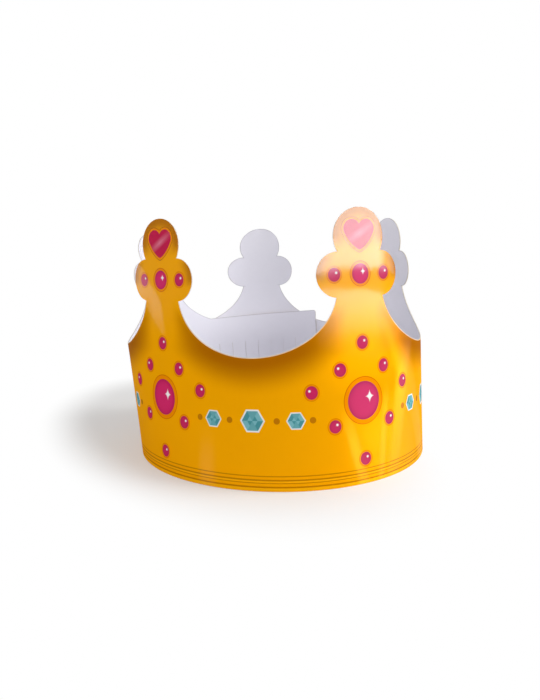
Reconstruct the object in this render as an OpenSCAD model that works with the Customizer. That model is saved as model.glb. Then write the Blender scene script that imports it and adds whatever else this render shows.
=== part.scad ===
// Paper crown: one die-cut strip of card with five points, bent into a ring.
// A strap with a row of slits runs inside the far end of the strip, and a tab
// on that far end goes through one of the slits to close the ring.

/* [Blank] */
// Number of points on the strip
point_count = 5; // [4:1:6]
// Distance along the card from one point to the next
point_pitch = 109.5; // [100:0.5:120]
// Height of the card at the bottom of each valley
valley_h = 63; // [50:1:72]
// How far the ellipse that rounds each valley reaches past the necks
valley_bulge = 0.6; // [0.2:0.1:6]
// Thickness of the card
card_t = 0.45; // [0.3:0.05:0.7]

/* [Points] */
// Half-width of the neck under the side lobes
neck_half_w = 12.3; // [11.2:0.1:14]
// Height of the centres of the side lobes
lobe_h = 99.4; // [95:0.2:110]
// Distance of a lobe's centre from the middle of its point
lobe_offset = 11.2; // [10:0.1:12.3]
// Radius of the side lobes
lobe_r = 10.4; // [9:0.1:12]
// Height of the round head above the side lobes
head_rise = 19.5; // [14:0.1:24]

/* [Strap and slits] */
// Length of the strap beyond the middle of the first valley
strap_len = 52.5; // [50:0.5:80]
// How far the strap stands above the bottoms of the valleys
strap_rise = 4.5; // [2:0.1:8]
// Radius of the strap's free corners
strap_corner_r = 1.5; // [1:0.5:10]
// Number of slits
slit_count = 10; // [6:1:10]
// Distance from one slit to the next
slit_pitch = 9; // [7:0.1:9.5]
// Distance of the last slit from the middle of the first valley
slit_reach = 45; // [40:0.5:48]
// Length of a slit
slit_len = 30; // [25:0.5:40]
// Width of a slit
slit_w = 0.5; // [0.3:0.1:1]

/* [Tab] */
// Slit that holds the tab, counted from the free end of the strap
tab_slit = 10; // [6:1:10]
// Distance of that slit from the cut end of the strip
tab_reach = 3.5; // [2.5:0.1:6]
// Length of the tab
tab_len = 14; // [10:0.5:18]
// Room between the tab and each end of its slit
tab_clearance = 1; // [0.5:0.1:3]
// Radius of the tab's corners
tab_corner_r = 5; // [2:0.5:8]
// Width to which the tab spreads its slit
tab_slit_w = 2.6; // [2.4:0.1:4]
// Length over which the tab passes through the card
tab_ramp = 2.4; // [1.5:0.1:2.6]

/* [Ring] */
// Half of the difference between the long and short radius at the rim
oval = 3.7; // [0:0.1:6]
// Angle of the long axis, from the front towards the right
oval_turn = 63; // [0:1:180]
// Outward lean at the ends of the long axis, and inward at the short one
oval_lean = 3.7; // [0:0.1:5]
// Lean of the whole crown to its left
lean_left = 3.7; // [0:0.1:5]
// Lean of the whole crown to its back
lean_back = 2; // [0:0.1:5]
// Air between two layers of card
layer_gap = 0.3; // [0.25:0.05:0.5]
// Slope at which the free end of the strap climbs
strap_climb = 3.9; // [0:0.1:6]
// Distance from the middle of the first valley at which the climb starts
climb_start = 30; // [10:1:35]
// Length over which the climb takes up its slope
climb_ease = 35; // [20:1:60]

/* [Fineness] */
// Columns in the width of one point
point_steps = 10; // [8:2:16]
// Steps around each rounded stretch of the outline
arc_steps = 8; // [5:1:12]
// Steps around a free corner
corner_steps = 4; // [2:1:6]

/* [Hidden] */

half_pitch = point_pitch / 2;
strip_len = point_count * point_pitch;
layer_step = card_t + layer_gap;
strap_h = valley_h + strap_rise;
mid_h = strap_h / 2;
slit_low = mid_h - slit_len / 2;
slit_high = mid_h + slit_len / 2;
tab_low = slit_low + tab_clearance;
tab_high = slit_high - tab_clearance;
tab_half_h = mid_h - tab_low;

// Closing: the tab sits in its slit, so the slit's place sets the girth
function slit_at(i) = slit_reach - (slit_count - i) * slit_pitch;
function slit_half_w(i) = (i == tab_slit ? tab_slit_w : slit_w) / 2;
strip_end = slit_at(tab_slit) - tab_reach;
girth = strip_len - strip_end;
mean_r = girth / (2 * PI);
front_at = floor(point_count / 2) * point_pitch;

// Outline of half a point: [height, half-width] from the rim to the tip
lobe_turn = asin((neck_half_w - lobe_offset) / lobe_r);
neck_h = lobe_h - lobe_r * cos(lobe_turn);
valley_half_w = half_pitch - neck_half_w + valley_bulge;
valley_turn = asin((half_pitch - neck_half_w) / valley_half_w);
valley_half_h = (neck_h - valley_h) / (1 - cos(valley_turn));
strap_turn = acos(1 - strap_rise / valley_half_h);
strap_steps = 2;
lobe_top = lobe_h + lobe_r;
head_r = (lobe_offset * lobe_offset + head_rise * head_rise) / (2 * head_rise);
head_h = lobe_top + head_rise - head_r;
head_turn = asin((lobe_top - head_h) / head_r);

function valley_row(a) = [valley_h + valley_half_h * (1 - cos(a)), half_pitch - valley_half_w * sin(a)];
function lobe_row(a) = [lobe_h - lobe_r * cos(a), lobe_offset + lobe_r * sin(a)];
function head_row(a) = [head_h + head_r * sin(a), head_r * cos(a)];

band_rows = [for (h = [0, slit_low, tab_low, tab_high, slit_high]) [h, half_pitch]];
rows = concat(
    band_rows,
    [for (i = [0:strap_steps]) valley_row(strap_turn * i / strap_steps)],
    [for (i = [1:arc_steps]) valley_row(strap_turn + (valley_turn - strap_turn) * i / arc_steps)],
    [for (i = [1:arc_steps]) lobe_row(lobe_turn + (180 - lobe_turn) * i / arc_steps)],
    [for (i = [1:arc_steps]) head_row(head_turn + (90 - head_turn) * i / (arc_steps + 0.5))]
);
valley_index = len(band_rows);
strap_index = valley_index + strap_steps;
strap_root = half_pitch - rows[strap_index][1];

// Columns of the strip: [point, distance from the first valley, squeeze of the height]
tiny = 0.001;
function sorted(list) = len(list) < 2 ? list :
    let (pivot = list[floor(len(list) / 2)])
    concat(
        sorted([for (x = list) if (x < pivot - tiny) x]),
        [pivot],
        sorted([for (x = list) if (x > pivot + tiny) x])
    );
function corner_squeeze(half, r, a) = (half - r + r * cos(a)) / half;

slit_edges = [for (i = [1:slit_count], side = [-1, 1]) slit_at(i) + side * slit_half_w(i)];
closing_lines = sorted(concat(slit_edges, [0, strap_root, half_pitch]));
corner_angles = [for (i = [0:corner_steps]) 90 * i / corner_steps];
tab_lines = [tab_reach - tab_ramp / 2, tab_reach + tab_ramp / 2];
columns = concat(
    [for (i = [corner_steps:-1:0]) let (a = corner_angles[i])
        [0, strap_corner_r * (1 - sin(a)) - strap_len, corner_squeeze(mid_h, strap_corner_r, a)]],
    [for (x = closing_lines) [0, x, 1]],
    [for (i = [point_steps / 2 + 1:point_steps]) [0, point_pitch * i / point_steps, 1]],
    [for (k = [1:point_count - 1], i = [0:point_steps]) [k, point_pitch * (k + i / point_steps), 1]],
    [for (x = concat([0], tab_lines)) [point_count, strip_len + x, 1]],
    [for (a = corner_angles)
        [point_count, strip_len + tab_len - tab_corner_r * (1 - sin(a)),
            corner_squeeze(tab_half_h, tab_corner_r, a)]]
);
column_count = len(columns);
row_count = len(rows);

// Blank: where each crossing of a row and a column lies on the flat strip
function is_closing(c) = columns[c][0] == 0 && columns[c][1] <= half_pitch;
function base_index(c) = is_closing(c) ? strap_index : valley_index;
function base_half_w(c) = is_closing(c) ? half_pitch - strap_root : half_pitch;
function axis_at(c) = (columns[c][0] + 0.5) * point_pitch;
function flat_x(r, c) = r <= base_index(c) ? columns[c][1] :
    axis_at(c) + (columns[c][1] - axis_at(c)) * rows[r][1] / base_half_w(c);
function flat_z(r, c) = mid_h + (rows[r][0] - mid_h) * columns[c][2];

// Ring: how the flat strip is bent, layered and stood on its rim
function ramp(x) = min(max(x, 0), 1);
function eased(x) = ramp(x) * ramp(x) * (3 - 2 * ramp(x));
function to_degrees(x) = x * 180 / PI;
function turn_at(x) = let (a = to_degrees((x - front_at) / mean_r))
    a - to_degrees(oval / (2 * mean_r)) * (sin(2 * (a - oval_turn)) + sin(2 * oval_turn));
function lean_at(a) = oval_lean * cos(2 * (a - oval_turn)) - lean_left * sin(a) - lean_back * cos(a);
function climb_at(x) = let (d = max(climb_start - x, 0)) tan(strap_climb) * d * d / (d + climb_ease);
function inner_depth(x) = layer_step * (1 - eased((x - strip_end - tab_len) / half_pitch));
function tab_depth(x) = ramp((x - tab_reach) / tab_ramp + 0.5) * (inner_depth(x + strip_end) + layer_step);
function depth_at(x) = x > strip_len ? tab_depth(x - strip_len) :
    x < half_pitch + point_pitch ? inner_depth(x) : 0;
function bent(x, z, depth) = let (
        a = turn_at(x),
        lean = lean_at(a),
        r = mean_r + oval * cos(2 * (a - oval_turn)) + z * sin(lean) - depth
    ) [r * sin(a), -r * cos(a), z * cos(lean) + climb_at(x)];

function layer(depth) = [for (r = [0:row_count - 1], c = [0:column_count - 1])
    bent(flat_x(r, c), flat_z(r, c), depth_at(columns[c][1]) + depth)];
outer_points = layer(0);
inner_points = layer(card_t);
points = concat(outer_points, inner_points);

// Cells: which fields between the rows and columns hold card
function is_seam(c) = columns[c][0] != columns[c + 1][0];
function cell_x(c) = (columns[c][1] + columns[c + 1][1]) / 2;
function in_slit(r, c) = rows[r][0] >= slit_low - tiny && rows[r + 1][0] <= slit_high + tiny &&
    len([for (i = [1:slit_count]) if (abs(cell_x(c) - slit_at(i)) < slit_half_w(i)) i]) > 0;
function in_tab(r) = rows[r][0] >= tab_low - tiny && rows[r + 1][0] <= tab_high + tiny;
function is_card(r, c) =
    r < 0 || c < 0 || r >= row_count - 1 || c >= column_count - 1 ? false :
    columns[c + 1][0] == point_count ? in_tab(r) :
    is_seam(c) ? r < valley_index :
    r < base_index(c) && r < base_index(c + 1) ? !in_slit(r, c) :
    abs(cell_x(c) - axis_at(c)) < (is_closing(c + 1) ? half_pitch - strap_root : half_pitch);

// Faces: both sides of each cell, and a wall where its neighbour is empty
function id(r, c) = r * column_count + (c > 0 && r <= valley_index && is_seam(c - 1) ? c - 1 : c);
function halves(q) = [[q[0], q[1], q[2]], [q[0], q[2], q[3]]];
function wall(a, b) = let (n = len(outer_points)) halves([b, a, a + n, b + n]);
function cell_faces(r, c) = let (
        n = len(outer_points),
        a = id(r, c), b = id(r + 1, c), d = id(r + 1, c + 1), e = id(r, c + 1)
    ) concat(
        halves([a, b, d, e]),
        halves([a + n, e + n, d + n, b + n]),
        is_card(r, c - 1) ? [] : wall(a, b),
        is_card(r + 1, c) ? [] : wall(b, d),
        is_card(r, c + 1) ? [] : wall(d, e),
        is_card(r - 1, c) ? [] : wall(e, a)
    );
faces = [for (r = [0:row_count - 2], c = [0:column_count - 2])
    if (is_card(r, c) && !is_seam(c)) each cell_faces(r, c)];
function middle(axis) = let (list = [for (f = faces, i = f) points[i][axis]]) (min(list) + max(list)) / 2;

module crown_card() {
    color("goldenrod")
        translate([-middle(0), -middle(1), 0])
            polyhedron(points, faces, convexity = 8);
}

crown_card();
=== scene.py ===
import math

import bpy
from mathutils import Matrix, Quaternion, Vector


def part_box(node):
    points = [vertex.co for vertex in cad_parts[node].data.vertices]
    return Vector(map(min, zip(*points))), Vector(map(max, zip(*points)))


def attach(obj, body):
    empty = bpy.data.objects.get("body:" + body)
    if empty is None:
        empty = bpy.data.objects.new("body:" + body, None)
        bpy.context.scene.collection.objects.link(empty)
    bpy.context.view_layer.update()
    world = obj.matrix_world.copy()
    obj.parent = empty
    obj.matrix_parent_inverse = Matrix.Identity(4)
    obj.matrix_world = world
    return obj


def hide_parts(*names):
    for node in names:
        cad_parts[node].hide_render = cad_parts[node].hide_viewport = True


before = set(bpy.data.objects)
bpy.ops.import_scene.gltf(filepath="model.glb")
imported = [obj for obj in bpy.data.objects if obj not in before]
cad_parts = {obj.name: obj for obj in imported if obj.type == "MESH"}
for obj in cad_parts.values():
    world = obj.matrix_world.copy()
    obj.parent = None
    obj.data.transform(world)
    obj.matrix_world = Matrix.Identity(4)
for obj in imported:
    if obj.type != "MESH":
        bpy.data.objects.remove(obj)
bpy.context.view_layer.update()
bpy.context.scene.view_settings.view_transform = "Standard"


# The blank
# One strip of coated card, printed on one side and cut out by a die: a band with
# five points, a plain strap with slits at one end and a tab at the other. It is
# cut flat here too, in millimetres, with the printed side up at height zero. The
# sizes are those of the CAD, except that the slits without the tab are 0.2 wide
# where the CAD has 0.5, to look like the hair lines in the photograph.
CARD_T = 0.45
POINT_COUNT = 5
POINT_PITCH = 109.5
HALF_PITCH = POINT_PITCH / 2
STRIP_LEN = POINT_COUNT * POINT_PITCH
VALLEY_H = 63.0
VALLEY_BULGE = 0.6
NECK_HALF_W = 12.3
LOBE_H = 99.4
LOBE_OFFSET = 11.2
LOBE_R = 10.4
HEAD_RISE = 19.5
STRAP_LEN = 52.5
STRAP_RISE = 4.5
STRAP_CORNER_R = 1.5
SLIT_COUNT = 10
SLIT_PITCH = 9.0
SLIT_REACH = 45.0
SLIT_LEN = 30.0
SLIT_W = 0.2
TAB_REACH = 3.5
TAB_LEN = 14.0
TAB_CLEARANCE = 1.0
TAB_CORNER_R = 5.0
TAB_SLIT_W = 2.6
TAB_RAMP = 2.4

NECK_H = LOBE_H - math.sqrt(LOBE_R**2 - (NECK_HALF_W - LOBE_OFFSET)**2)
VALLEY_HALF_W = HALF_PITCH - NECK_HALF_W + VALLEY_BULGE
VALLEY_SHARE = math.sqrt(1 - ((HALF_PITCH - NECK_HALF_W) / VALLEY_HALF_W)**2)
VALLEY_HALF_H = (NECK_H - VALLEY_H) / (1 - VALLEY_SHARE)
VALLEY_MID_H = VALLEY_H + VALLEY_HALF_H
LOBE_TOP = LOBE_H + LOBE_R
HEAD_R = (LOBE_OFFSET**2 + HEAD_RISE**2) / (2 * HEAD_RISE)
HEAD_H = LOBE_TOP + HEAD_RISE - HEAD_R
STRAP_H = VALLEY_H + STRAP_RISE
STRAP_ROOT = VALLEY_HALF_W * math.sqrt(1 - (1 - STRAP_RISE / VALLEY_HALF_H)**2)
STRAP_MID_H = STRAP_H / 2
TAB_HALF_H = SLIT_LEN / 2 - TAB_CLEARANCE
TOOL_DEPTH = 10.0
ROUND_SIDES = 120
CORNER_STEPS = 8


def only(piece):
    """Select one object alone and make it the active one."""
    bpy.ops.object.select_all(action="DESELECT")
    piece.select_set(True)
    bpy.context.view_layer.objects.active = piece


def slab(x0, x1, y0, y1, depth=CARD_T):
    """A flat rectangle of card, or a taller block when it is a cutting tool."""
    bpy.ops.mesh.primitive_cube_add(size=1, location=((x0 + x1) / 2, (y0 + y1) / 2, -CARD_T / 2))
    piece = bpy.context.object
    piece.scale = (x1 - x0, y1 - y0, depth)
    bpy.ops.object.transform_apply(location=True, scale=True)
    return piece


def disc(x, y, rx, ry, depth=CARD_T):
    """A flat round of card, or a taller punch when it is a cutting tool."""
    place = (x, y, -CARD_T / 2)
    bpy.ops.mesh.primitive_cylinder_add(vertices=ROUND_SIDES, radius=1, depth=1, location=place)
    piece = bpy.context.object
    piece.scale = (rx, ry, depth)
    bpy.ops.object.transform_apply(location=True, scale=True)
    return piece


def joined(pieces):
    """Several pieces as one object."""
    only(pieces[0])
    for piece in pieces[1:]:
        piece.select_set(True)
    bpy.ops.object.join()
    return bpy.context.object


def die(sheet, tool, operation):
    """Add a tool's shape to a sheet, or cut it away, and throw the tool away."""
    only(sheet)
    step = sheet.modifiers.new("die", "BOOLEAN")
    step.object = tool
    step.operation = operation
    step.solver = "EXACT"
    bpy.ops.object.modifier_apply(modifier=step.name)
    bpy.data.objects.remove(tool)


def round_upright_edges(piece, x_side, radius):
    """Round the upright edges at one end of a flat piece."""
    near = radius / 100
    only(piece)
    bpy.ops.object.mode_set(mode="EDIT")
    bpy.ops.mesh.select_mode(type="EDGE")
    bpy.ops.mesh.select_all(action="DESELECT")
    bpy.ops.object.mode_set(mode="OBJECT")
    points = piece.data.vertices
    for edge in piece.data.edges:
        a, b = (points[i].co for i in edge.vertices)
        upright = abs(a.x - b.x) + abs(a.y - b.y) < near
        edge.select = upright and abs(a.x - x_side) < near
    bpy.ops.object.mode_set(mode="EDIT")
    bpy.ops.mesh.bevel(offset=radius, segments=CORNER_STEPS, affect="EDGES")
    bpy.ops.object.mode_set(mode="OBJECT")


def trefoil(axis):
    """The top of one point: a round head over two side lobes."""
    top = slab(axis - LOBE_OFFSET, axis + LOBE_OFFSET, NECK_H - LOBE_R / 2, LOBE_TOP + LOBE_R / 5)
    die(top, disc(axis - LOBE_OFFSET, LOBE_H, LOBE_R, LOBE_R), "UNION")
    die(top, disc(axis + LOBE_OFFSET, LOBE_H, LOBE_R, LOBE_R), "UNION")
    die(top, disc(axis, HEAD_H, HEAD_R, HEAD_R), "UNION")
    return top


def slit_at(index):
    """Distance of a slit from the middle of the first valley. The last slit holds the tab."""
    return SLIT_REACH - (SLIT_COUNT - 1 - index) * SLIT_PITCH


def slit_tool(index):
    """The cutting tool of one slit."""
    half_w = (TAB_SLIT_W if index == SLIT_COUNT - 1 else SLIT_W) / 2
    middle, half_len = slit_at(index), SLIT_LEN / 2
    return slab(middle - half_w, middle + half_w, STRAP_MID_H - half_len, STRAP_MID_H + half_len, TOOL_DEPTH)


card = slab(0, STRIP_LEN, 0, NECK_H)
valleys = [disc(k * POINT_PITCH, VALLEY_MID_H, VALLEY_HALF_W, VALLEY_HALF_H, TOOL_DEPTH)
           for k in range(POINT_COUNT + 1)]
die(card, joined(valleys), "DIFFERENCE")
die(card, joined([trefoil((k + 0.5) * POINT_PITCH) for k in range(POINT_COUNT)]), "UNION")

strap = slab(-STRAP_LEN, STRAP_ROOT, 0, STRAP_H)
round_upright_edges(strap, -STRAP_LEN, STRAP_CORNER_R)
die(card, strap, "UNION")

tab = slab(STRIP_LEN - TAB_LEN, STRIP_LEN + TAB_LEN, STRAP_MID_H - TAB_HALF_H, STRAP_MID_H + TAB_HALF_H)
round_upright_edges(tab, STRIP_LEN + TAB_LEN, TAB_CORNER_R)
die(card, tab, "UNION")
die(card, joined([slit_tool(i) for i in range(SLIT_COUNT)]), "DIFFERENCE")
card.name = card.data.name = "crown_paper"

# Columns and rows are scored across the sheet so that it can bend smoothly. The
# columns are shifted a little, to keep them off the slits.
COLUMN_W = 2.5
COLUMN_SHIFT = COLUMN_W / 7
ROW_H = 7.0
columns = range(int(-STRAP_LEN / COLUMN_W), int((STRIP_LEN + TAB_LEN) / COLUMN_W) + 1)
rows = range(1, int((LOBE_TOP + HEAD_RISE) / ROW_H) + 1)
scores = [((COLUMN_W * i + COLUMN_SHIFT, 0, 0), (1, 0, 0)) for i in columns]
scores += [((0, ROW_H * i, 0), (0, 1, 0)) for i in rows]
only(card)
bpy.ops.object.mode_set(mode="EDIT")
for place, direction in scores:
    bpy.ops.mesh.select_all(action="SELECT")
    bpy.ops.mesh.bisect(plane_co=place, plane_no=direction)
bpy.ops.object.mode_set(mode="OBJECT")

# The flat place of every corner is kept as a map, in metres, for the print.
OUTSIDE, INSIDE, EDGE = range(3)
METRE = 0.001
flat_map = card.data.uv_layers.new(name="blank")
for loop in card.data.loops:
    place = card.data.vertices[loop.vertex_index].co
    flat_map.data[loop.index].uv = (place.x * METRE, place.y * METRE)
for face in card.data.polygons:
    face.material_index = OUTSIDE if face.normal.z > 0.5 else INSIDE if face.normal.z < -0.5 else EDGE


# The ring
# The strip is bent into an oval ring that leans a little, and it stands on its
# cut edge. The strap runs inside the far end and climbs, and the tab of the far
# end goes through the last slit to hold the ring shut.
OVAL = 3.7
OVAL_TURN = math.radians(63)
OVAL_LEAN = math.radians(3.7)
LEAN_LEFT = math.radians(3.7)
LEAN_BACK = math.radians(2)
LAYER_GAP = 0.3
LAYER_STEP = CARD_T + LAYER_GAP
STRAP_CLIMB = math.tan(math.radians(3.9))
CLIMB_START = 30.0
CLIMB_EASE = 35.0
STRIP_END = slit_at(SLIT_COUNT - 1) - TAB_REACH
MEAN_R = (STRIP_LEN - STRIP_END) / (2 * math.pi)
FRONT_AT = POINT_COUNT // 2 * POINT_PITCH
SHARP_EDGE = math.radians(30)


def ramp(x):
    return min(max(x, 0), 1)


def eased(x):
    return ramp(x)**2 * (3 - 2 * ramp(x))


def turn_at(x):
    """The angle around the ring, from the front, at a distance along the strip."""
    a = (x - FRONT_AT) / MEAN_R
    return a - OVAL / (2 * MEAN_R) * (math.sin(2 * (a - OVAL_TURN)) + math.sin(2 * OVAL_TURN))


def inner_depth(x):
    """How far the strap's end of the strip lies inside the ring's outer layer."""
    return LAYER_STEP * (1 - eased((x - STRIP_END - TAB_LEN) / HALF_PITCH))


def depth_at(x):
    """How far any part of the strip lies inside the outer layer. The tab goes through to the innermost."""
    if x > STRIP_LEN:
        past = x - STRIP_LEN
        return ramp((past - TAB_REACH) / TAB_RAMP + 0.5) * (inner_depth(past + STRIP_END) + LAYER_STEP)
    return inner_depth(x) if x < HALF_PITCH + POINT_PITCH else 0


def bent(flat):
    """Where a place on the flat sheet comes to lie in the ring, in metres."""
    a = turn_at(flat.x)
    wave = math.cos(2 * (a - OVAL_TURN))
    lean = OVAL_LEAN * wave - LEAN_LEFT * math.sin(a) - LEAN_BACK * math.cos(a)
    r = MEAN_R + OVAL * wave + flat.y * math.sin(lean) - depth_at(flat.x) + flat.z
    far = max(CLIMB_START - flat.x, 0)
    climb = STRAP_CLIMB * far * far / (far + CLIMB_EASE)
    return Vector((r * math.sin(a), -r * math.cos(a), flat.y * math.cos(lean) + climb)) * METRE


for vertex in card.data.vertices:
    vertex.co = bent(vertex.co)
low, high = (Vector(corner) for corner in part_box("crown_card"))
extent = [[vertex.co[axis] for vertex in card.data.vertices] for axis in range(3)]
middle = Vector([(min(values) + max(values)) / 2 for values in extent])
to_frame = Vector(((low.x + high.x) / 2 - middle.x, (low.y + high.y) / 2 - middle.y, 0))
card.data.transform(Matrix.Translation(to_frame))
only(card)
bpy.ops.object.shade_smooth_by_angle(angle=SHARP_EDGE)


# The print
# Glossy ink on the outside of the card: gold with airbrushed brown edges, and on
# every point the same set of drawn gems, a heart, hexagonal stones and border
# lines. All of it is drawn from the flat map, so it bends with the card.
class Ink:
    """One value in a material's nodes. Sums written with it add Math nodes."""

    def __init__(self, tree, socket=None):
        self.tree = tree
        self.socket = socket

    def node(self, kind, settings, values, output=0):
        """Add any node: its settings first, then the values or links of its sockets."""
        new = self.tree.nodes.new(kind)
        for name, setting in settings.items():
            setattr(new, name, setting)
        for name, value in values.items():
            if isinstance(value, Ink):
                self.tree.links.new(value.socket, new.inputs[name])
            else:
                new.inputs[name].default_value = value
        return Ink(self.tree, new.outputs[output])

    def math(self, operation, *others, clamp=False):
        """Add a Math node with this value first."""
        values = dict(enumerate((self,) + others))
        return self.node("ShaderNodeMath", {"operation": operation, "use_clamp": clamp}, values)

    def __add__(self, other):
        return self.math("ADD", other)

    __radd__ = __add__

    def __sub__(self, other):
        return self.math("SUBTRACT", other)

    def __rsub__(self, other):
        return self.node("ShaderNodeMath", {"operation": "SUBTRACT"}, {0: other, 1: self})

    def __mul__(self, other):
        return self.math("MULTIPLY", other)

    __rmul__ = __mul__

    def __truediv__(self, other):
        return self.math("DIVIDE", other)

    def __rtruediv__(self, other):
        return self.node("ShaderNodeMath", {"operation": "DIVIDE"}, {0: other, 1: self})

    def __abs__(self):
        return self.math("ABSOLUTE")

    def __pow__(self, other):
        return self.math("POWER", other)

    def least(self, other):
        return self.math("MINIMUM", other)

    def most(self, other):
        return self.math("MAXIMUM", other)

    def clamped(self):
        return self.math("ADD", 0.0, clamp=True)

    def over(self, under, colour):
        """Lay a colour over another one where this mask is white."""
        return self.node("ShaderNodeMix", {"data_type": "RGBA"}, {0: self, 6: under, 7: colour}, 2)

    def into(self, socket):
        """Link this value to a socket of the material's own shader."""
        self.tree.links.new(self.socket, socket)


def tone(red, green, blue):
    """A screen colour of 0 to 255, as the linear colour that shaders take."""
    def linear(value):
        value /= 255
        return value / 12.92 if value <= 0.04045 else ((value + 0.055) / 1.055)**2.4
    return (linear(red), linear(green), linear(blue), 1)


def new_material(name):
    """A material, the start of its nodes, and the sockets of its shader."""
    material = bpy.data.materials.new(name)
    material.use_nodes = True
    return material, Ink(material.node_tree), material.node_tree.nodes["Principled BSDF"].inputs


def blank_place(nodes):
    """The flat map, and from it the distance along the strip, across its nearest point and up."""
    place = nodes.node("ShaderNodeUVMap", {"uv_map": "blank"}, {})
    along, up = (nodes.node("ShaderNodeSeparateXYZ", {}, {0: place}, axis) / METRE for axis in range(2))
    return place, along, ((along / POINT_PITCH).math("FRACT") - 0.5) * POINT_PITCH, up


def noise(nodes, place, scale, detail):
    """A noise texture over the places of a map."""
    return nodes.node("ShaderNodeTexNoise", {}, {"Vector": place, "Scale": scale, "Detail": detail})


PRINT_SOFT = 0.22


def filled(inside):
    """A mask that is white where a distance into a shape, in millimetres, is above zero."""
    return (inside / PRINT_SOFT + 0.5).clamped()


def fade(gap, near, far):
    """A soft mask that is white up to one distance and gone at another."""
    share = ((far - gap) / (far - near)).clamped()
    return share * share * (3 - 2 * share)


def length(x, y):
    return (x * x + y * y).math("SQRT")


def into_band(side, height):
    """Distance from the cut of a valley into the card below and beside it."""
    x, y = HALF_PITCH - side, height - VALLEY_MID_H
    reach = length(x / VALLEY_HALF_W, y / VALLEY_HALF_H)
    return (1 - 1 / reach) * length(x, y)


def into_lobe(side, height):
    return LOBE_R - length(side - LOBE_OFFSET, height - LOBE_H)


def into_head(side, height):
    return HEAD_R - length(side, height - HEAD_H)


BAND_OVERLAP = 0.5
MIDDLE_OVERLAP = 1.0
MIDDLE_DEPTH = 5.0


def into_card(side, height):
    """Distance from the cut outline into the card, on the points and below the valleys."""
    band = into_band(side, height).least(NECK_H + BAND_OVERLAP - height)
    middle = (LOBE_TOP + MIDDLE_OVERLAP - height).least(height - NECK_H + MIDDLE_DEPTH)
    middle = middle.least(LOBE_OFFSET - side)
    return band.most(into_lobe(side, height)).most(into_head(side, height)).most(middle)


printed, ink, gloss = new_material("gold_print")
flat_place, along, x, height = blank_place(ink)
side = abs(x)
from_valley = HALF_PITCH - side
on_points = filled(along)

# Gold ground, with brown shading that runs along the cut outline.
GOLD = tone(249, 170, 0)
BROWN = tone(178, 104, 0)
BAND_SHADE = 2, 19
NECK_NARROWS = 1.6
NECK_PALES = 0.65
NECK_FADE = 10
HEAD_SHADE = 1, 8
HEAD_SHADE_LOW = 8
HEAD_BROWN = 0.85
LOBE_SHADE = 0, 8
LOBE_SHADE_REACH = 9
LOBE_SHADE_LIFT = 4
LOBE_SHADE_TALL = 3, 9
LOBE_BROWN = 0.82
up_neck = 1 - fade(height, VALLEY_H, NECK_H)
band_shade = fade(into_band(side, height) * (1 + up_neck * NECK_NARROWS), *BAND_SHADE)
band_shade = band_shade * (1 - up_neck * NECK_PALES) * fade(height, NECK_H - NECK_FADE, NECK_H)
head_shade = fade(into_head(side, height), *HEAD_SHADE)
head_shade = head_shade * fade(LOBE_TOP + HEAD_SHADE_LOW - height, 0, HEAD_SHADE_LOW)
lobe_shade = fade(into_lobe(side, height), *LOBE_SHADE)
lobe_shade = lobe_shade * fade(LOBE_OFFSET + LOBE_SHADE_REACH - side, 0, LOBE_SHADE_REACH)
lobe_shade = lobe_shade * fade(abs(height - LOBE_H - LOBE_SHADE_LIFT), *LOBE_SHADE_TALL)
shade = band_shade.most(head_shade * HEAD_BROWN).most(lobe_shade * LOBE_BROWN) * on_points
colour = shade.over(GOLD, BROWN)

# Border of two drawn mouldings along the rim: dark lines, then the lights between
# them, each with its height, half its width and its strength.
LINE_DARK = tone(156, 90, 2)
LINE_LIGHT = tone(255, 190, 20)
LINE_CORE, LINE_EDGE, LIGHT_EDGE = 0.4, 1.7, 1.8
dark_lines = ((7.3, 0.24, 0.65), (5.4, 0.36, 0.68), (4.0, 0.22, 0.6), (2.1, 0.36, 0.7))
light_lines = ((4.7, 0.3, 0.6), (1.1, 0.5, 0.6))
for line_h, half_w, strength in dark_lines:
    line = fade(abs(height - line_h), half_w * LINE_CORE, half_w * LINE_EDGE)
    colour = (line * strength).over(colour, LINE_DARK)
for line_h, half_w, strength in light_lines:
    line = fade(abs(height - line_h), 0, half_w * LIGHT_EDGE)
    colour = (line * strength).over(colour, LINE_LIGHT)

# Row of stones between the points: dots, and hexagons with cut facets, each
# placed by its distance from the middle of the valley.
STONE_ROW_H = 33.5
DOT_R = 1.5
DOT_STRENGTH = 0.85
DOT_BROWN = tone(182, 105, 8)
STONE_WHITE = tone(232, 236, 238)
STONE_LIGHT = tone(128, 190, 200)
STONE_DARK = tone(62, 140, 148)
FACETS_SHARE = 0.86
TABLE_SHARE = 0.42
FACET_CONTRAST = 0.42
HEX_SIDE = math.sqrt(3) / 2
HEX_TURN = math.radians(60)
row_y = height - STONE_ROW_H
for dot_x in (11.85, 28.9):
    dot = filled(DOT_R - length(from_valley - dot_x, row_y)) * on_points * DOT_STRENGTH
    colour = dot.over(colour, DOT_BROWN)


def hexagon(sx, sy, half_w):
    """Distance into a hexagon with a flat top, where half_w reaches to its corners."""
    return half_w * HEX_SIDE - abs(sy).most(abs(sx) * HEX_SIDE + abs(sy) * 0.5)


for stone_x, half_w in ((0.0, 6.2), (20.95, 4.65)):
    stone_side = x.math("SIGN") * -1 * (from_valley - stone_x)
    sector = ((row_y.math("ARCTAN2", stone_side) / HEX_TURN).math("FLOOR") + 0.5) * HEX_TURN
    flip = 1 - 2 * filled(hexagon(stone_side, row_y, half_w * TABLE_SHARE))
    facet = ((sector * 2).math("SINE") * flip * FACET_CONTRAST + 0.5).clamped()
    stone = facet.over(STONE_DARK, STONE_LIGHT)
    colour = (filled(hexagon(stone_side, row_y, half_w)) * on_points).over(colour, STONE_WHITE)
    colour = (filled(hexagon(stone_side, row_y, half_w * FACETS_SHARE)) * on_points).over(colour, stone)

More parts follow.
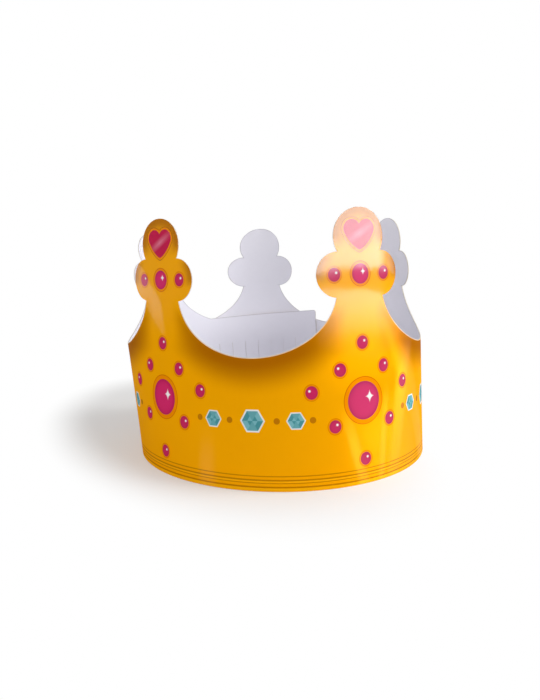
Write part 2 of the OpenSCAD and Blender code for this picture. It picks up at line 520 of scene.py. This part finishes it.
# Round gems in thin settings: small ones around the big one and on the lobes.
# The glints of two pairs are mirrored, and those of the others are not.
GEM_PINK = tone(214, 44, 108)
GEM_RED = tone(200, 40, 96)
GEM_DEEP = tone(170, 20, 78)
RING_ORANGE = tone(242, 144, 0)
RING_LINE = tone(204, 92, 0)
RING_LINE_W = 0.08, 0.3
GLINT = tone(250, 246, 248)
GLINT_W = 0.35, 0.8
GLINT_X, GLINT_Y = 1.0, 0.8
GEM_TALL = 1.07
GEM_RIM_POWER = 6
GEM_RIM_DEEP = 0.75
SMALL_R = 2.95
SMALL_RING_W = 0.7
SMALL_LINE, BIG_LINE = 0.5, 0.8
small_gems = ((x, 0, 67.9), (x, 0, 12.3), (side, 11.9, 55.9), (side, 26.0, 46.25),
              (x, 15.3, 29.55), (x, -15.3, 29.55), (x, 13.1, 99.5), (x, -13.1, 99.5))


def nearest(distances):
    """The least of several distances."""
    least = distances[0]
    for distance in distances[1:]:
        least = least.least(distance)
    return least


def draw_gem(colour, d, radius, ring_w, line_strength, pink):
    """A round gem in a thin drawn setting, from the distance to its middle."""
    ring = filled(radius + ring_w - d) * on_points
    line = fade(abs(d - radius - ring_w), *RING_LINE_W) * on_points
    colour = ring.over(colour, RING_ORANGE)
    colour = (line * line_strength).over(colour, RING_LINE)
    rim = (d / radius).clamped()**GEM_RIM_POWER
    gem = (rim * GEM_RIM_DEEP).over(pink, GEM_DEEP)
    return (filled(radius - d) * on_points).over(colour, gem)


gem_d = nearest([length(across - gx, (height - gh) / GEM_TALL) for across, gx, gh in small_gems])
glint_d = nearest([length(across - gx - GLINT_X, height - gh - GLINT_Y) for across, gx, gh in small_gems])
colour = draw_gem(colour, gem_d, SMALL_R, SMALL_RING_W, SMALL_LINE, GEM_RED)
colour = (fade(glint_d, *GLINT_W) * on_points).over(colour, GLINT)
off_gems = gem_d - SMALL_R

# Big oval gem on the band and the round one between the lobes, with star glints:
# height, radius, width of the setting, place of the star and half its width.
STAR_POWER = 0.62
STAR_SHARP = 4
STAR_TALL = 1.28
big_gems = ((40.45, 8.6, 1.95, 3.1, 1.7, 2.3), (99.5, 4.35, 1.0, 1.3, 1.0, 1.3))
for gem_h, radius, ring_w, star_x, star_y, star_w in big_gems:
    d = length(x, (height - gem_h) / GEM_TALL)
    colour = draw_gem(colour, d, radius, ring_w, BIG_LINE, GEM_PINK)
    star = (abs(x - star_x) / star_w)**STAR_POWER
    star = star + (abs(height - gem_h - star_y) / (star_w * STAR_TALL))**STAR_POWER
    colour = ((1 - star) * STAR_SHARP + 0.5).clamped().over(colour, GLINT)
    off_gems = off_gems.least(d - radius)

# Heart on the head, in an orange setting and with a pale shine. Each flank
# is an arc that runs on smoothly from its round and goes through the tip.
HEART_RED = tone(198, 26, 76)
HEART_SHINE = tone(226, 128, 152)
HEART_LINE = tone(150, 72, 10)
HEART_LINE_W = 0.06, 0.28
HEART_LINE_STRENGTH = 0.7
HEART_RIM_W = 0.14
HEART_SETTING_W = 1.2
HEART_ROUND_R = 4.1
HEART_ROUND_X = 3.65
HEART_ROUND_H = 119.7
HEART_TIP_H = 110.0
HEART_TIP_R = 0.8
HEART_TURN = math.radians(25)
HEART_SIN, HEART_COS = math.sin(HEART_TURN), math.cos(HEART_TURN)
HEART_TALL = HEART_ROUND_H - HEART_TIP_H
HEART_FLANK_OFF = (HEART_ROUND_X**2 + HEART_TALL**2 - HEART_ROUND_R**2) / 2
HEART_FLANK_OFF /= HEART_ROUND_R + HEART_ROUND_X * HEART_COS - HEART_TALL * HEART_SIN
HEART_FLANK_R = HEART_FLANK_OFF + HEART_ROUND_R
HEART_FLANK_X = HEART_FLANK_OFF * HEART_COS - HEART_ROUND_X
HEART_FLANK_H = HEART_ROUND_H + HEART_FLANK_OFF * HEART_SIN
SHINE_TILT = math.radians(30)
SHINE_H = 117.6
SHINE_HALF_W = 2.3
SHINE_REACH = 9
SHINE_STRENGTH = 0.9
rounds = HEART_ROUND_R - length(side - HEART_ROUND_X, height - HEART_ROUND_H)
flank = HEART_FLANK_R - length(length(x, HEART_TIP_R) + HEART_FLANK_X, height - HEART_FLANK_H)
below = (HEART_ROUND_X - side) * HEART_SIN + (HEART_ROUND_H - height) * HEART_COS
heart_d = rounds.most(flank.least(below))
setting_d = heart_d + HEART_SETTING_W
on_head = filled(height - LOBE_TOP + LOBE_R / 2) * on_points
shine_d = (height - SHINE_H) * math.cos(SHINE_TILT) - x * math.sin(SHINE_TILT)
shine = (1 - abs(shine_d) / SHINE_HALF_W).clamped() * (1 - side / SHINE_REACH).clamped() * SHINE_STRENGTH
colour = (filled(setting_d) * on_head).over(colour, RING_ORANGE)
colour = (fade(abs(setting_d), *HEART_LINE_W) * on_head * HEART_LINE_STRENGTH).over(colour, HEART_LINE)
colour = (filled(heart_d + HEART_RIM_W) * on_head).over(colour, GEM_DEEP)
colour = (filled(heart_d) * on_head).over(colour, shine.over(HEART_RED, HEART_SHINE))

# A painted highlight: a pale hair line along the cut of the valleys, where the
# cut edge catches light from above, broken up by noise.
VALLEY_EDGE_HIGHLIGHT = tone(250, 232, 196)
EDGE_HIGHLIGHT_W = 0.2, 0.5
EDGE_HIGHLIGHT_H = VALLEY_H + 6, VALLEY_H + 26
EDGE_HIGHLIGHT_BREAK_SCALE = 260.0
highlight_breaks = (noise(ink, flat_place, EDGE_HIGHLIGHT_BREAK_SCALE, 2.0) * 0.5 + 0.6).clamped()
edge_highlight = fade(into_card(side, height), *EDGE_HIGHLIGHT_W) * fade(height, *EDGE_HIGHLIGHT_H) * on_points * highlight_breaks
colour = edge_highlight.over(colour, VALLEY_EDGE_HIGHLIGHT)

# Streaks with a metal lustre and more gloss. They stand in for reflections of lamps
# that the photograph doesn't show, and were placed to match it. So they belong to
# the photograph's light more than to the card, and they stay put when the lamps or
# the view change. Each has its foot along the strip, slant, half-width, lowest and
# highest place, lustre and gloss.
RIGHT_POINT = FRONT_AT + HALF_PITCH
STREAK_CORE = 0.2
STREAK_TOP_FADE = 30
STREAK_LOW_FADE = 22
streaks = ((FRONT_AT - 25, 0.0, 7, 0, 34, 0.02, 0.3), (RIGHT_POINT - 1, -0.24, 4.5, 0, 42, 0.34, 0.45),
           (RIGHT_POINT + 9, 0.1, 3.4, 0, 50, 0.42, 0.4), (RIGHT_POINT + 17, 0.2, 8, 0, 78, 0.45, 0.3),
           (RIGHT_POINT + 16, 0.0, 32, 0, 48, 0.3, 0.08), (RIGHT_POINT + 52, -0.45, 11, 0, 90, 0.28, 0),
           (RIGHT_POINT + 2, 0.0, 34, 60, 104, 0.05, 0))
lustre = clear = on_points * 0
for foot, slant, half_w, low_h, top_h, metal, glossy in streaks:
    streak = fade(abs(along - foot - height * slant), half_w * STREAK_CORE, half_w)
    streak = streak * fade(height, top_h - STREAK_TOP_FADE, top_h)
    streak = streak * fade(low_h - height, 0, STREAK_LOW_FADE)
    lustre = lustre.most(streak * metal)
    clear = clear.most(streak * glossy)

# Varnish: a clear gloss over ink that shows the fibre of the card. It is stronger
# on the points, and strongest on the right-hand one and on its gems. That too was
# set to match the reflections in the photograph.
THIN, THICK, THICKEST, DROP = 0.025, 0.13, 0.44, 0.6
NEAR_RIGHT = 25, 60
RIGHT_SPREAD = 0.8
NECK_MIDDLE = 5, 15
NECK_TOP = 82, 94
HEAD_LOW = 85, 92
RIGHT_EDGE = 9, 16
TOP_START, TOP_RISE = 92, 26
DROP_SHIFT = 8
DROP_REACH = 10, 35
DROP_H = 50, 62
near_right = fade(abs(along - RIGHT_POINT), *NEAR_RIGHT)
spread = fade(side / (1 + near_right * RIGHT_SPREAD), *NECK_MIDDLE).most(1 - fade(height, *NECK_TOP))
thick = THICK + near_right * fade(x, *RIGHT_EDGE).most(fade(height, *HEAD_LOW)) * THICKEST
drops = fade(abs(along - RIGHT_POINT - DROP_SHIFT), *DROP_REACH) * fade(height, *DROP_H)
drops = drops * filled(0 - off_gems)
varnish = THIN + fade(TOP_START - height, 0, TOP_RISE) * spread * thick + clear + drops * DROP
FIBRE_SCALE = 900.0
WAVE_SCALE = (38.0, 7.0, 1.0)
fibre = noise(ink, flat_place, FIBRE_SCALE, 2.0)
waves = noise(ink, ink.node("ShaderNodeMapping", {}, {"Vector": flat_place, "Scale": WAVE_SCALE}), 1.0, 1.0)
fine = ink.node("ShaderNodeBump", {}, {"Strength": 0.07, "Distance": 0.0002, "Height": fibre})
bump = ink.node("ShaderNodeBump", {}, {"Strength": 0.2, "Distance": 0.002, "Height": waves, "Normal": fine})
colour.into(gloss["Base Color"])
varnish.clamped().into(gloss["Coat Weight"])
(lustre * filled(off_gems)).into(gloss["Metallic"])
bump.into(gloss["Normal"])
gloss["Roughness"].default_value = 0.38
gloss["Specular IOR Level"].default_value = 0.0
gloss["Coat Roughness"].default_value = 0.065


# The bare card
# The inside is the uncoated white side of the card. Along its outline and the
# strap's edges runs a thin grey line of painted shade, where the cut edges lie in
# shade, and the cut edge itself shows the pale core of the card.
PULP_SCALE = 420.0
CLOUD_SCALE = 24.0
PULP_DARK = tone(241, 239, 249)
PULP_LIGHT = tone(249, 247, 255)
OUTLINE_SHADE_GREY = tone(160, 157, 168)
OUTLINE_SHADE_W = 0.1, 0.65
OUTLINE_SHADE_STRENGTH = 0.5
inside, paper, matt = new_material("white_card")
paper_place, paper_along, paper_x, paper_height = blank_place(paper)
pulp = noise(paper, paper_place, PULP_SCALE, 4.0)
cloud = noise(paper, paper_place, CLOUD_SCALE, 2.0)
tint = (cloud * 0.6 + pulp * 0.4).over(PULP_DARK, PULP_LIGHT)
past_strap, on_strap = filled(paper_along - STRAP_ROOT), filled(0 - paper_along)
into_strap = (STRAP_H - paper_height).least(paper_along + STRAP_LEN) - past_strap * STRIP_LEN
into_sheet = into_card(abs(paper_x), paper_height) - on_strap * STRIP_LEN
# The grey outline line is painted shade along the cut edges of the points and the strap.
outline = fade(into_sheet.most(into_strap), *OUTLINE_SHADE_W) * OUTLINE_SHADE_STRENGTH
outline.over(tint, OUTLINE_SHADE_GREY).into(matt["Base Color"])
(pulp * 0.3 + 0.6).into(matt["Roughness"])
paper.node("ShaderNodeBump", {}, {"Strength": 0.08, "Distance": 0.0003, "Height": pulp}).into(matt["Normal"])

GRAIN_SCALE = 1500.0
CORE_DARK = tone(206, 194, 172)
CORE_LIGHT = tone(238, 231, 218)
rim, core, cut = new_material("cut_edge")
core_place = core.node("ShaderNodeUVMap", {"uv_map": "blank"}, {})
noise(core, core_place, GRAIN_SCALE, 3.0).over(CORE_DARK, CORE_LIGHT).into(cut["Base Color"])
cut["Roughness"].default_value = 0.85

for material in (printed, inside, rim):
    card.data.materials.append(material)
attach(card, "root")
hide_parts("crown_card")


# The table
# A white sheet that the crown stands on. The camera sees it as plain white, except
# in an oval beside the crown, where the cast shadow shows. The oval was fitted to
# the shadow in the photograph.
SHADOW_TURN = math.radians(38.3)
SHADOW_SHIFT, SHADOW_ASIDE = 0.062, -0.0156
SHADOW_LONG, SHADOW_WIDE = 0.201, 0.108
SHADOW_FADE = 0.63, 1.0
SHADOW_LIFT = 0.31
TABLE_WHITE = tone(246, 246, 245)
TABLE_SIZE = 8
TABLE_DROP = 0.0002
bpy.ops.mesh.primitive_plane_add(size=TABLE_SIZE, location=(0, 0, -TABLE_DROP))
floor = bpy.context.object
floor.name = "floor"
floor_material, table, floor_shader = new_material("white_table")
floor_shader["Base Color"].default_value = TABLE_WHITE
floor_shader["Roughness"].default_value = 0.8
floor_place = table.node("ShaderNodeTexCoord", {}, {}, "Object")
floor_x, floor_y = (table.node("ShaderNodeSeparateXYZ", {}, {0: floor_place}, axis) for axis in range(2))


def seen_as_white(nodes):
    """White where the camera looks, and also where gloss or glass shows the background."""
    camera, gloss, glass = (nodes.node("ShaderNodeLightPath", {}, {}, f"Is {kind} Ray")
                            for kind in ("Camera", "Glossy", "Transmission"))
    return (camera + gloss + glass).clamped()


lee = floor_y * math.cos(SHADOW_TURN) - floor_x * math.sin(SHADOW_TURN) - SHADOW_SHIFT
beside = floor_x * math.cos(SHADOW_TURN) + floor_y * math.sin(SHADOW_TURN) - SHADOW_ASIDE
in_shadow = fade(length(lee / SHADOW_LONG, beside / SHADOW_WIDE), *SHADOW_FADE) * (1 - SHADOW_LIFT)
white = table.node("ShaderNodeEmission", {}, {"Strength": 1.0})
body = Ink(table.tree, table.tree.nodes["Principled BSDF"].outputs[0])
blend = table.node("ShaderNodeMixShader", {}, {0: seen_as_white(table) * (1 - in_shadow), 1: body, 2: white})
blend.into(table.tree.nodes["Material Output"].inputs["Surface"])
floor.data.materials.append(floor_material)


# The lamps
# Soft boxes light the card from the right and the front. Narrow strips are seen
# only in its gloss, and make the pale heads and necks of the photograph.
AMBIENT = 0.39
LAMP_AIM = Vector((0, 0, 0.1))
world = bpy.data.worlds.new("studio")
bpy.context.scene.world = world
world.use_nodes = True
background = world.node_tree.nodes["Background"].inputs
background["Color"].default_value = (1, 1, 1, 1)
(seen_as_white(Ink(world.node_tree)) * (1 - AMBIENT) + AMBIENT).into(background["Strength"])


def softbox(name, azimuth, elevation, distance, width, tall, radiance, roll=0, in_matt=True, in_gloss=True):
    """A soft lamp aimed at the crown's points, placed by its angle from the front."""
    a, e = math.radians(azimuth), math.radians(elevation)
    away = Vector((math.sin(a) * math.cos(e), -math.cos(a) * math.cos(e), math.sin(e)))
    bpy.ops.object.light_add(type="AREA", location=LAMP_AIM + away * distance)
    lamp = bpy.context.object
    lamp.name = name
    lamp.data.shape = "RECTANGLE"
    lamp.data.size = width
    lamp.data.size_y = tall
    lamp.data.energy = radiance * math.pi * width * tall
    lamp.visible_diffuse, lamp.visible_glossy, lamp.visible_camera = in_matt, in_gloss, False
    turn = (-away).to_track_quat("-Z", "Y") @ Quaternion((0, 0, 1), math.radians(roll))
    lamp.rotation_euler = turn.to_euler()


softbox("key", 90, 45, 1.2, 0.5, 0.5, 7.7)
softbox("side", 86, 7, 1.0, 0.5, 0.16, 8.9, in_gloss=False)
softbox("front", -20, 3, 1.3, 0.9, 0.2, 6.3)
softbox("strip_high", 59, 8.3, 0.95, 1.45, 0.23, 16.5, roll=-3.2, in_matt=False)
softbox("strip_low", 64, -6.6, 0.5, 0.85, 0.08, 8.5, roll=-4, in_matt=False)
softbox("card_left", -86, -1.8, 0.8, 0.3, 0.065, 7, roll=-10, in_matt=False)


# The camera
# It stands a little to the right of the front valley and looks slightly down.
CAMERA_TURN = math.radians(9.84)
CAMERA_PITCH = math.radians(8.81)
CAMERA_ROLL = math.radians(2.25)
CAMERA_DISTANCE = 0.34164
CAMERA_ASIDE = -0.00346
CAMERA_HEIGHT = 0.05491
FOCAL_PX = 582.25
FRAME_PX = 700
SENSOR_W = 36.0
CLIP_START = 0.01
right = Vector((math.cos(CAMERA_TURN), math.sin(CAMERA_TURN), 0))
level_back = Vector((math.sin(CAMERA_TURN), -math.cos(CAMERA_TURN), 0))
back = level_back * math.cos(CAMERA_PITCH) + Vector((0, 0, math.sin(CAMERA_PITCH)))
up = back.cross(right)
target = right * CAMERA_ASIDE + Vector((0, 0, CAMERA_HEIGHT)) + to_frame
rolled_right = right * math.cos(CAMERA_ROLL) - up * math.sin(CAMERA_ROLL)
rolled_up = right * math.sin(CAMERA_ROLL) + up * math.cos(CAMERA_ROLL)
bpy.ops.object.camera_add(location=target + back * CAMERA_DISTANCE)
camera = bpy.context.object
camera.rotation_euler = Matrix((rolled_right, rolled_up, back)).transposed().to_euler()
camera.data.sensor_width = SENSOR_W
camera.data.lens = FOCAL_PX * SENSOR_W / FRAME_PX
camera.data.clip_start = CLIP_START
bpy.context.scene.camera = camera
